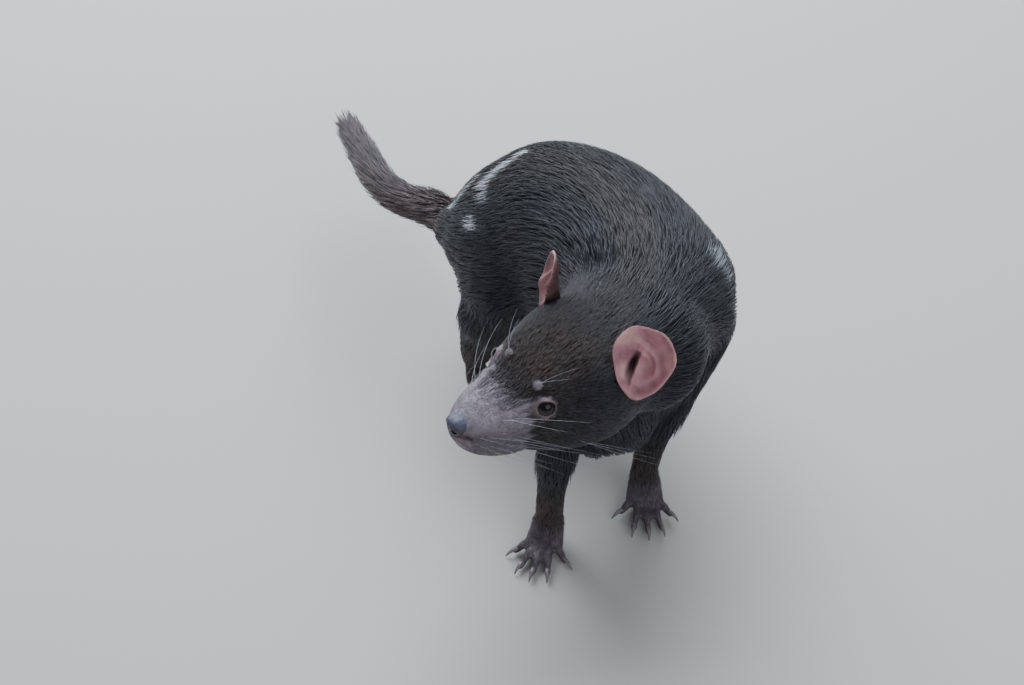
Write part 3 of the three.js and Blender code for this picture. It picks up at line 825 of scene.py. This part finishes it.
class Ground:
    """The skin as what tufts grow on: its triangles, normals, unwrap and nearest points."""

    def __init__(self, mesh):
        surface = Surface(mesh)
        self.at = surface.at
        self.normal = surface.normals()
        self.triangles = surface.triangles
        p, q, r = (self.at[self.triangles[:, k]] for k in range(3))
        self.area = np.linalg.norm(np.cross(q - p, r - p), axis=1) / 2
        loops = rows_of(mesh.loop_triangles, "loops", 3, int)
        self.uv = rows_of(mesh.uv_layers["OFBake"].data, "uv", 2)[loops]
        self.tree = BVHTree.FromPolygons(self.at.tolist(), self.triangles.tolist())

    def scatter(self, density):
        """Random roots, density of them in a square millimetre for each triangle."""
        count = chance.poisson(self.area * density)
        face = np.repeat(np.arange(len(count)), count)
        a, b = chance.random((2, len(face)))
        flip = a + b > 1
        a, b = np.where(flip, 1 - a, a), np.where(flip, 1 - b, b)
        share = np.stack([1 - a - b, a, b], 1)[:, :, None]
        corner = self.triangles[face]
        root = (self.at[corner] * share).sum(1)
        normal = unit((self.normal[corner] * share).sum(1))
        return root, normal, (self.uv[face] * share).sum(1)

    def settle(self, points):
        """The nearest points of the skin and its normals there."""
        found = [self.tree.find_nearest(p) for p in points.tolist()]
        place = np.array([f[0] for f in found])
        corner = self.triangles[[f[2] for f in found]]
        return place, unit(self.normal[corner].sum(1))


def turned(ways, normals, angles):
    """Directions along the skin, turned about its normals."""
    c, s = np.cos(angles)[:, None], np.sin(angles)[:, None]
    return ways * c + np.cross(normals, ways) * s


def clumps(root, size):
    """For each root the number of its clump, and the root at the middle of that clump."""
    heads = np.unique(chance.integers(0, len(root), int(len(root) / size)))
    tree = KDTree(len(heads))
    for k, head in enumerate(heads):
        tree.insert(root[head], k)
    tree.balance()
    nearest = np.array([tree.find(p)[1] for p in root.tolist()])
    return nearest, root[heads[nearest]]


# How far the hair of the tail stands from the middle line, which runs on past the tip
TAIL_HAIR_REACH = 16.0
TAIL_HAIR_LINE = np.vstack([TAIL_AT, TAIL_AT[-1] + TAIL_WAY[-1] * np.linspace(3, 66, 22)[:, None]])


def drawn_to_tail(points, reach):
    """Points brought within reach of the tail's middle line."""
    nearest = TAIL_HAIR_LINE[gap_to(points, TAIL_HAIR_LINE).argmin(1)]
    out = points - nearest
    far = np.linalg.norm(out, axis=1)
    return nearest + out * ((1 + (far / reach) ** 4) ** -0.25)[:, None]


def combed(ground, root, normal, length, rise, wander, steps, pull, free):
    """Middle lines and normals of tufts that follow the lie of the coat and lie down at their tips.

    Free tufts run on straight instead of round the skin, close to the tail.
    """
    lines, normals = [root - normal * 0.6], [normal]
    place, up = root, normal
    if free:
        root_far = gap_to(root, TAIL_HAIR_LINE).min(1)
        reach = TAIL_HAIR_REACH * chance.uniform(0.75, 1.25, len(root))
    yaw = chance.normal(0, wander, len(root))
    for step in range(1, steps + 1):
        share = step / steps
        way = turned(lie(place, up), up, yaw)
        goal = place + way * (length / steps)[:, None] + pull * (2 * share - 1 / steps) / steps
        place, up = (goal, normal) if free else ground.settle(goal)
        at = place + up * (rise * (1 - (1 - share) ** 1.7))[:, None]
        if free:
            at = drawn_to_tail(at, np.maximum(reach, root_far + 3 + (reach - root_far - 3) * share))
        lines.append(at)
        normals.append(up)
    return np.stack(lines, 1), np.stack(normals, 1)


# Size of a tuft in the unwrap, and height of its ridge by its width
PATCH = 0.003
RIDGE_HEIGHT = 0.22


def tuft_mesh(lines, normals, width, root_uv, colours, shade):
    """Closed tapering blades with a ridge, one on each line, ending in a point."""
    count, stations = lines.shape[:2]
    rings = stations - 1
    way = unit(np.gradient(lines, axis=1))
    side = unit(np.cross(way, normals))
    over = np.cross(side, way)
    profile = np.interp(np.linspace(0, 1, stations)[:rings], [0, 0.35, 0.7, 1], [0.7, 1, 0.8, 0.25])
    half = (width[:, None] / 2 * profile)[:, :, None]
    tall = (RIDGE_HEIGHT * width[:, None] * profile)[:, :, None]
    middle = lines[:, :rings]
    left = middle - side[:, :rings] * half
    right = middle + side[:, :rings] * half
    ridge = middle + over[:, :rings] * tall
    ring = np.stack([left, right, ridge], 2).reshape(count, rings * 3, 3)
    points = np.concatenate([ring, lines[:, -1:]], 1)
    per = rings * 3 + 1
    tip = [(per - 4 + i, per - 4 + (i + 1) % 3, per - 1) for i in range(3)]
    faces = [(2, 1, 0), *ring_faces(rings, 3), *tip]
    loops, sizes = np.concatenate(faces), [len(face) for face in faces]
    mesh = bpy.data.meshes.new("mesh")
    mesh.vertices.add(count * per)
    mesh.vertices.foreach_set("co", metres(points.reshape(-1, 3)).ravel())
    mesh.loops.add(count * len(loops))
    corners = (loops[None] + per * np.arange(count)[:, None]).ravel()
    mesh.loops.foreach_set("vertex_index", corners)
    mesh.polygons.add(count * len(sizes))
    starts = np.concatenate([[0], np.cumsum(np.tile(sizes, count))[:-1]])
    mesh.polygons.foreach_set("loop_start", starts)
    smoothed(mesh).update(calc_edges=True)
    across = np.append(np.tile([0.0, 1.0, 0.5], rings), 0.5)
    along = np.append(np.repeat(np.arange(rings) / rings, 3), 1.0)
    local = (np.stack([across, along], 1) - 0.5)[loops] * PATCH
    layer = mesh.uv_layers.new(name="OFBake")
    layer.data.foreach_set("uv", (root_uv[:, None] + local[None]).ravel())
    tone = np.interp(along, [0, 1], shade)
    paint(mesh, (colours[:, None] * tone[None, :, None]).reshape(-1, 3))
    return mesh


# Triangles of a piece at most
PIECE_LIMIT = 190000
# Hair that stands straighter up than this would have no width
LEAST_SLANT = 0.15


def measured(value, root, zone):
    """A measure at each root, which is a number or goes by the roots and their zones."""
    return value(root, zone) if callable(value) else np.full(len(root), value)


def grow(
    ground, name, density, length, rise, width, steps, wander,
    clump=(1.0, 0.0), shade=(0.6, 1.15), free=False,
):
    """Tufts all over the skin where density is above 0, as pieces under the limit of triangles.

    clump is how many tufts lean together and how far, shade the tone at the root and at the tip.
    """
    centre = ground.at[ground.triangles].mean(1)
    root, normal, uv = ground.scatter(density(centre, zones(centre)))
    zone = zones(root)
    vary = chance.uniform(0.75, 1.25, (3, len(root)))
    reach = measured(length, root, zone) * vary[0]
    number, heart = clumps(root, clump[0])
    high = measured(rise, root, zone) * vary[1]
    pull = clump[1] * (heart - root)
    lines, normals = combed(ground, root, normal, reach, high, wander, steps, pull, free)
    size = measured(width, root, zone) * vary[2]
    tint = chance.uniform(0.75, 1.35, number.max() + 1)[number]
    tint = tint * chance.uniform(0.88, 1.15, len(root))
    colours = coat_colour(lines[:, 1:].mean(1)) * tint[:, None]
    slant = np.linalg.norm(np.cross(np.gradient(lines, axis=1), normals), axis=2).min(1)
    order = np.argsort(root[:, 1])
    order = order[slant[order] > LEAST_SLANT]
    per_tuft = 6 * (steps - 1) + 4
    pieces = math.ceil(len(order) * per_tuft / PIECE_LIMIT)
    for k, part in enumerate(np.array_split(order, pieces)):
        title = f"{name}_{k + 1}" if pieces > 1 else name
        of_part = (values[part] for values in (lines, normals, size, uv, colours))
        shown(title, tuft_mesh(*of_part, shade), "coat")


def by_zone(**values):
    return lambda root, zone: blend(zone, **values)


def by_head(*stops):
    """A measure by places along the head's x."""
    return lambda root, zone: np.interp(zone["h"][:, 0], *zip(*stops))


def by_axis(axis, *stops):
    """A measure by places along x, 0, or z, 2."""
    return lambda root, zone: np.interp(root[:, axis], *zip(*stops))


def dress(ground):
    """The whole coat, from the long fur of the body to the down of the muzzle."""
    others = ("head", "leg", "foot", "tail")
    grow(
        ground, "coat_body",
        lambda at, zone: 0.375 * (1 - np.maximum.reduce([zone[key] for key in others])),
        length=by_zone(body=30, head=15, muzzle=8, leg=14, foot=8, tail=26),
        rise=by_zone(body=5.6, head=3.4, muzzle=2, leg=3.2, foot=2, tail=6),
        width=1.15, steps=3, wander=0.10, clump=(10, 0.4),
    )
    grow(
        ground, "coat_head", lambda at, zone: 1.1 * zone["head"] * (1 - zone["muzzle"]),
        length=by_head((-40, 15), (0, 11), (60, 6)), rise=by_head((-40, 3.8), (0, 3.0), (60, 1.3)),
        width=by_head((-40, 0.8), (60, 0.5)), steps=2, wander=0.12, clump=(8, 0.4),
    )
    grow(
        ground, "coat_muzzle",
        lambda at, zone: 1.5 * zone["muzzle"] * ramp(104, 96, zone["h"][:, 0]),
        length=by_head((55, 4.5), (100, 2.4)), rise=by_head((55, 0.7), (100, 0.45)),
        width=0.26, steps=2, wander=0.2, shade=(0.75, 1.2),
    )
    grow(
        ground, "coat_legs", lambda at, zone: 0.6 * zone["leg"] * (1 - zone["foot"]),
        length=by_axis(2, (30, 7), (100, 13)), rise=by_axis(2, (30, 1.5), (100, 3.2)),
        width=0.85, steps=2, wander=0.14, clump=(7, 0.3),
    )
    grow(
        ground, "coat_feet", lambda at, zone: 0.55 * zone["foot"] * ramp(5, 11, at[:, 2]),
        length=3.0, rise=0.6, width=0.32, steps=2, wander=0.2,
    )
    grow(
        ground, "coat_tail", lambda at, zone: 0.85 * zone["tail"],
        length=by_axis(0, (-140, 42), (-105, 52), (-80, 38), (-55, 24)),
        rise=by_axis(0, (-140, 9.5), (-80, 8.0), (-55, 4.5)),
        width=1.0, steps=4, wander=0.06, clump=(9, 0.35), free=True,
    )


# Eyes and lids

def eye(name):
    """A glossy ball with the low dome of the cornea."""
    mirror = MIRRORS[name]
    bm = bmesh.new()
    bmesh.ops.create_uvsphere(bm, u_segments=48, v_segments=32, radius=EYE_RADIUS * MM)
    turn = Vector((EYE_AIM * mirror) @ HEAD_AXES).to_track_quat("Z", "Y").to_matrix()
    middle = Vector(metres(from_head(EYE_IN_HEAD * mirror)))
    for v in bm.verts:
        v.co *= 1 + 0.05 * float(ramp(0.72, 0.95, v.co.normalized().z))
        v.co = turn @ v.co + middle
    shown(f"eyeball_{name}", smoothed(poured(bm)), "eye", [f"eye_{name}"])


LID_TURNS = 72
LID_COLOUR = (0.21, 0.145, 0.145)
# Rings of the lid from its underside out: degrees from the opening and distance from the eye's middle.
# Then those where it meets the skin: radians from the opening, distance, and height over the skin
LID_RINGS = [(-3, 6.4), (-1, 7.75), (0, 8.2), (3, 8.6), (8, 8.7), (14, 8.65)]
LID_EDGE = [(0.42, 9.6, 0.2), (0.58, 10.4, -0.8)]


def lids(ground, name):
    """A ring of lid round the opening of the eye, its outer edge sunk in the skin."""
    aim, centre = EYE_AIM * MIRRORS[name], EYE_IN_HEAD * MIRRORS[name]
    level = unit(np.cross([0, 0, 1.0], aim))
    over = np.cross(aim, level)
    turn = 2 * np.pi * np.arange(LID_TURNS) / LID_TURNS
    round_the_eye = np.outer(np.cos(turn), level) + np.outer(np.sin(turn), over)
    # Angle of the opening from the aim: wider towards the corners
    opening = np.radians(47 + 9 * np.cos(turn) ** 2 - 4 * (np.sin(turn) > 0) * np.sin(turn) ** 2)

    def ring(angle, radius):
        out = np.cos(angle)[:, None] * aim + np.sin(angle)[:, None] * round_the_eye
        return from_head(centre + out * radius)

    rings = [ring(opening + math.radians(spread), radius) for spread, radius in LID_RINGS]
    for spread, radius, lift in LID_EDGE:
        edge, normal = ground.settle(ring(opening + spread, radius))
        rings.append(edge + normal * lift)
    under = [ring - (ring - from_head(centre)) * 0.18 for ring in rings[::-1][1:-1]]
    loop = rings + under
    points = np.vstack(loop)
    faces = ring_faces(len(loop), LID_TURNS, closed=True)
    mesh = turned_out(mesh_from(points, faces))
    tone = np.ones((len(points), 1))
    tone[: 3 * LID_TURNS] = 0.45
    paint(mesh, np.array(LID_COLOUR) * tone)
    shown(f"lids_{name}", smoothed(mesh), "skin")


# Nose, ears, claws, whiskers

def relaxed_copy(nodes, size, rounds, swell):
    """The surface of some CAD nodes, rounded off."""
    surface = Surface(smoothed(remeshed(poured(welded(nodes, swell)), size)))
    surface.relax(np.full(len(surface.at), 0.5), rounds)
    return surface


NOSTRIL = np.array([109, 4.4, -21.5])
# Top of the pad: a painted bluish highlight. Below it the pad's own dark red
NOSE_TOP_HIGHLIGHT = np.array([0.062, 0.064, 0.092])
NOSE_LOW = np.array([0.050, 0.020, 0.022])


def nose():
    """The pad, grained, with a painted bluish highlight on top, dark red below, and painted shade in
    the nostrils.
    """
    pad = relaxed_copy(["nose"], size=0.0005, rounds=6, swell=0.0001)
    h = in_head(pad.at)
    groove = bell(h[:, 1], 0.7) * ramp(-17, -22, h[:, 2]) * ramp(104, 107, h[:, 0])
    pad.at -= pad.normals() * (0.8 * groove)[:, None]
    # Painted highlight on top, fading to the dark red below
    low = ramp(-17, -24, h[:, 2])[:, None]
    tone = NOSE_TOP_HIGHLIGHT * (1 - low) + NOSE_LOW * low
    for mirror in MIRRORS.values():
        hole = away(h * [1, 1, 1.3], NOSTRIL * mirror * [1, 1, 1.3])
        pad.at -= 2.6 * ramp(2.9, 0.8, hole)[:, None] * FORWARD
        # Painted shade in the nostrils
        tone = tone * (0.04 + 0.96 * ramp(1.9, 3.0, away(h, NOSTRIL * mirror)))[:, None]
    pad.store()
    paint(pad.mesh, tone)
    shown("nose_pad", pad.mesh, "nose", ["nose"])


# Ears: lower and upper end of the rim and the way they open, in the head's frame, half the width,
# depth of the bowl, and tone, which on the far right ear is a painted shade over the whole ear
EARS = {
    "left": ((-3, 58.5, 10), (-14, 45, 64), (0.746, 0.587, 0.315), 21.5, 10.0, 1.0),
    "right": ((4, 47, 9), (-5, 54, 57), (0.84, 0.50, -0.04), 12.5, 5.0, 0.62),
}
EAR_ROOT = np.array([-10.0, 34.0, 10.0])
EAR_RINGS, EAR_TURNS = 40, 120
# Thickness from the bowl, and at least from its relief
EAR_THICK = 1.7
EAR_THIN = 0.9
# Knobs of the inside: height, middle across and along, squash along, and radius
EAR_KNOBS = [(3.2, -14.0, 2, 0.7, 3.6), (2.0, -13.0, -8, 1.0, 3.0), (2.4, -4, -16, 1.0, 4.0)]


def ear_hollow(a, b):
    """Distance from the slit of the ear's hollow, shorter along it."""
    along = b + 6.5
    return np.hypot((a + 7.5 - 0.12 * along - 0.012 * along**2) / 0.5, along / 1.7)


def ear_relief(a, b, r):
    """How far the inside of the ear stands forward: rolled rim, folds and the hollow of the ear."""
    hollow = ear_hollow(a, b)
    relief = 1.2 * bell(r - 0.94, 0.055)
    relief += np.where(a > -6, 1.0, 0.2) * 1.7 * bell(hollow - 8.0, 3.0)
    relief += 2.9 * bell(np.hypot(a + 4, b + 5) - 13.5, 2.2) * ramp(-6, 6, a) * ramp(-20, -6, b)
    for height, across, along, squash, radius in EAR_KNOBS:
        relief += height * bell(np.hypot(a - across, (b - along) * squash), radius)
    relief += 0.6 * np.sin(b * 0.9 + 0.5 * a) * ramp(22, 9, hollow) * ramp(4, 7, hollow)
    waves = np.sin(0.42 * a + 0.9 + 0.8 * np.sin(0.17 * b)) * np.sin(0.33 * b + 0.6)
    relief += 0.7 * waves * ramp(1.0, 0.8, r)
    return (relief - 5.5 * bell(hollow, 4.4)) * ramp(1.0, 0.97, r)


def ear(name):
    """An oval bowl that stands on the side of the crown, bare inside."""
    *ends_and_front, half_width, depth, tone = EARS[name]
    low, top, front = (np.array(place, float) for place in ends_and_front)
    height = np.linalg.norm(top - low)
    axis = unit(top - low)
    front = unit(front - axis * (front @ axis))
    back = np.cross(axis, front)
    turns = 2 * np.pi * np.arange(EAR_TURNS) / EAR_TURNS
    r, turn = np.meshgrid(np.linspace(0, 1, EAR_RINGS) ** 0.8, turns, indexing="ij")
    wave = 1 + 0.025 * np.sin(3 * turn + 0.6) + 0.014 * np.sin(7 * turn)
    a = half_width * r * np.cos(turn) * (1 + 0.22 * np.sin(turn)) * wave
    b = height / 2 * r * np.sin(turn) * wave
    bowl = -depth * (1 - r**2) + 0.004 * a**2
    relief = ear_relief(a, b, r)
    inside = bowl + relief
    edge = np.sqrt(1 - r**6)
    outside = np.minimum(bowl - EAR_THICK * edge, inside - EAR_THIN * edge)
    stalk = (bell(a, 12) * bell(b + 13, 13) * (1 - r**4))[..., None]
    sheets, faces = [], []
    for sheet, forward in enumerate((inside, outside)):
        at = (low + top) / 2 + a[..., None] * back + b[..., None] * axis + forward[..., None] * front
        at = at + sheet * stalk * (EAR_ROOT - at)
        sheets.append(from_head(at.reshape(-1, 3) * MIRRORS[name]))
        faces += ring_faces(EAR_RINGS, EAR_TURNS, sheet * EAR_RINGS * EAR_TURNS)
    mesh = mesh_from(np.vstack(sheets), faces)
    # Painted shade of the ear: darker in the hollow and in the low places of the relief, and over the
    # whole far ear by its tone; with it a darker patch, a lighter rim and a darker lower end
    shade = 1.0 - 0.3 * bell(np.hypot(a + 12.5, b - 2), 7) + 0.2 * ramp(0.8, 1, r)
    shade = shade * (0.06 + 0.94 * ramp(1.5, 9.0, ear_hollow(a, b)))
    shade = tone * shade * (0.84 + 0.22 * ramp(-1.2, 2.2, relief))
    shade = shade * (0.8 + 0.2 * ramp(-1.0, -0.3, b / height * 2))
    paint(mesh, np.concatenate([shade.ravel(), 0.42 * shade.ravel()])[:, None] * np.ones(3))
    turned_out(mesh, 1e-6)
    shown(f"ear_flap_{name}", smoothed(mesh), "ear", [f"ear_{name}"])


def claws(leg):
    nodes = sorted(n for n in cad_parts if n.startswith(f"{leg}_claw"))
    horn = relaxed_copy(nodes, size=0.0004, rounds=4, swell=0.0002)
    horn.store()
    shown(f"claws_{leg}", horn.mesh, "claw", nodes)


# Whisker roots in the head's frame, with the way each leaves and its length
WHISKERS = []
for row, height in enumerate((-23, -29, -35)):
    for k in range(4):
        x = 95 - 8.5 * k - 2 * row
        way = (-0.55 - 0.12 * k, 0.75, 0.12 - 0.2 * row)
        WHISKERS.append(((x, 14 + 2.5 * k, height), way, 24 + 9 * k))
WHISKERS += [((80 - 5 * k, 17 + k, -11), (-0.35 - 0.05 * k, 0.8, 0.45), 34 + 6 * k) for k in range(3)]
WHISKERS += [((54 - k, 18 + 1.5 * k, 15), (-0.22 - 0.1 * k, 0.6, 0.75), 26 + 6 * k) for k in range(2)]
WHISKERS += [((30 - 6 * k, 46, -34 - 4 * k), (-0.75, 0.62, -0.1), 56 - 6 * k) for k in range(3)]


def whiskers(ground):
    """Thin tapering hairs that droop back, the same number on both sides."""
    points, faces = [], []
    share = np.linspace(0, 1, 9)[:, None]
    radii = np.interp(share[:, 0], [0, 1], [0.17, 0.04])
    for root, way, length in WHISKERS:
        for mirror in MIRRORS.values():
            start = in_head(ground.settle(from_head(np.array([root]) * mirror))[0])[0]
            out = unit(np.array(way) * mirror + chance.normal(0, 0.1, 3))
            reach = length * chance.uniform(0.85, 1.15)
            droop = np.array([-0.35, 0, -0.22]) * reach * share**2
            p, f = tube(from_head(start + out * (reach * share - 1.0) + droop), radii, 5)
            faces += [tuple(np.array(face) + sum(map(len, points))) for face in f]
            points.append(p)
    shown("whiskers", smoothed(mesh_from(np.vstack(points), faces)), "whisker")


# Stage

CAMERA = (0.0, -964.2, 1149.1)
LENS = 59.8
SKY = (0.86, 0.92, 1.0, 1)
SKY_STRENGTH = 0.25
LIGHT_COLOUR = (0.81, 0.895, 1.0)
LIGHTS_AIM = (20, -100, 150)
# Place, size in metres and power of each light
LIGHTS = {"key": ((-300, 1500, 1700), 2.4, 142), "fill": ((900, -1500, 1300), 1.8, 17)}


def looking(thing, place, target):
    """Puts a light or the camera at a place, aimed at a target."""
    thing.location = metres(place)
    thing.rotation_euler = (target - thing.location).to_track_quat("-Z", "Y").to_euler()
    bpy.context.scene.collection.objects.link(thing)


def stage():
    """A pale floor, soft light from above and the camera of the photo."""
    bpy.ops.mesh.primitive_circle_add(vertices=96, radius=6, fill_type="NGON", location=(0, 0, 0))
    floor = bpy.context.object
    floor.name = "floor"

    def floor_nodes(tree, shader):
        feed(tree, shader, "Roughness", between(tree, noise(tree, 3.0), 0.75, 0.85, 0, 1))

    floor.data.materials.append(material("floor", (0.58, 0.55, 0.51), 0.8, floor_nodes))
    world = bpy.data.worlds.new("sky")
    world.use_nodes = True
    sky = world.node_tree.nodes["Background"].inputs
    sky["Color"].default_value, sky["Strength"].default_value = SKY, SKY_STRENGTH
    bpy.context.scene.world = world
    for name, (place, size, power) in LIGHTS.items():
        light = bpy.data.objects.new(name, bpy.data.lights.new(name, "AREA"))
        light.data.size, light.data.energy, light.data.color = size, power, LIGHT_COLOUR
        looking(light, place, Vector(metres(LIGHTS_AIM)))
    camera = bpy.data.objects.new("camera", bpy.data.cameras.new("camera"))
    camera.data.lens = LENS
    camera.data.clip_start = 0.05
    looking(camera, CAMERA, Vector(AIM))
    bpy.context.scene.camera = camera


# Share of the triangles that stays in the skin under the fur
KEPT_UNDER_FUR = 0.22


def unwrap(piece):
    """An unwrap of the skin's own shape, which the tufts share."""
    piece.data.uv_layers.new(name="OFBake")
    bpy.context.view_layer.objects.active = piece
    piece.select_set(True)
    bpy.ops.object.mode_set(mode="EDIT")
    bpy.ops.mesh.select_all(action="SELECT")
    bpy.ops.uv.smart_project(angle_limit=math.radians(66), island_margin=0.001)
    bpy.ops.object.mode_set(mode="OBJECT")
    piece.select_set(False)


def main():
    stage()
    mesh = smoothed(refined(thinned(flesh_skin(), KEPT_UNDER_FUR)))
    skin = Surface(mesh)
    carve_face(skin)
    paint(mesh, coat_colour(skin.at))
    unwrap(shown("skin", mesh, "skin", UNDER_SKIN))
    ground = Ground(mesh)
    for name in MIRRORS:
        eye(name)
        lids(ground, name)
        ear(name)
    nose()
    whiskers(ground)
    for leg in LEGS:
        claws(leg)
    dress(ground)


main()
